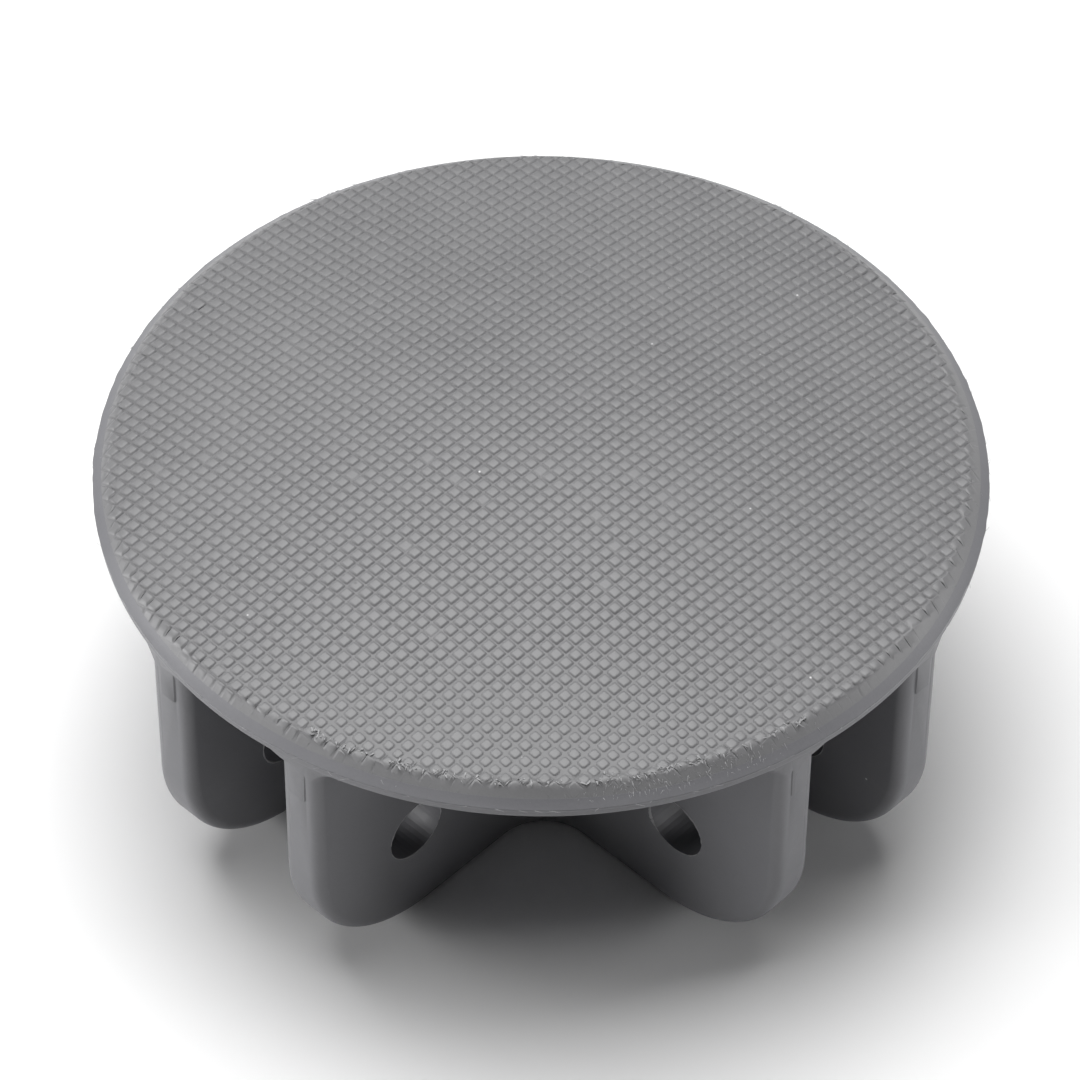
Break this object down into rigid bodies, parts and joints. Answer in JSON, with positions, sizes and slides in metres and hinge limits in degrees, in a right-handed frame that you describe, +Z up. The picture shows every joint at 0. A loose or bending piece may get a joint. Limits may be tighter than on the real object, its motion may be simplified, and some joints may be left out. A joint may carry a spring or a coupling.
{
  "type": "cover plug",
  "caption": "Round domed non-slip cover on a grid of crossing ribs with pin holes, in soft grey plastic.",
  "frame": {"origin": "middle of the footprint, on the surface that the rib feet stand on", "axes": "+Z up through the middle of the domed top, X and Y along the two pairs of ribs"},
  "size_m": [0.136, 0.136, 0.0605],
  "materials": {
    "body_grey": "satin",
    "tread_grey": "satin, squared tread"
  },
  "bodies": {
    "root": {"cover_plate": "body_grey", "tread_pad": "tread_grey", "rib_front": "body_grey", "rib_rear": "body_grey", "rib_left": "body_grey", "rib_right": "body_grey"}
  },
  "joints": []
}
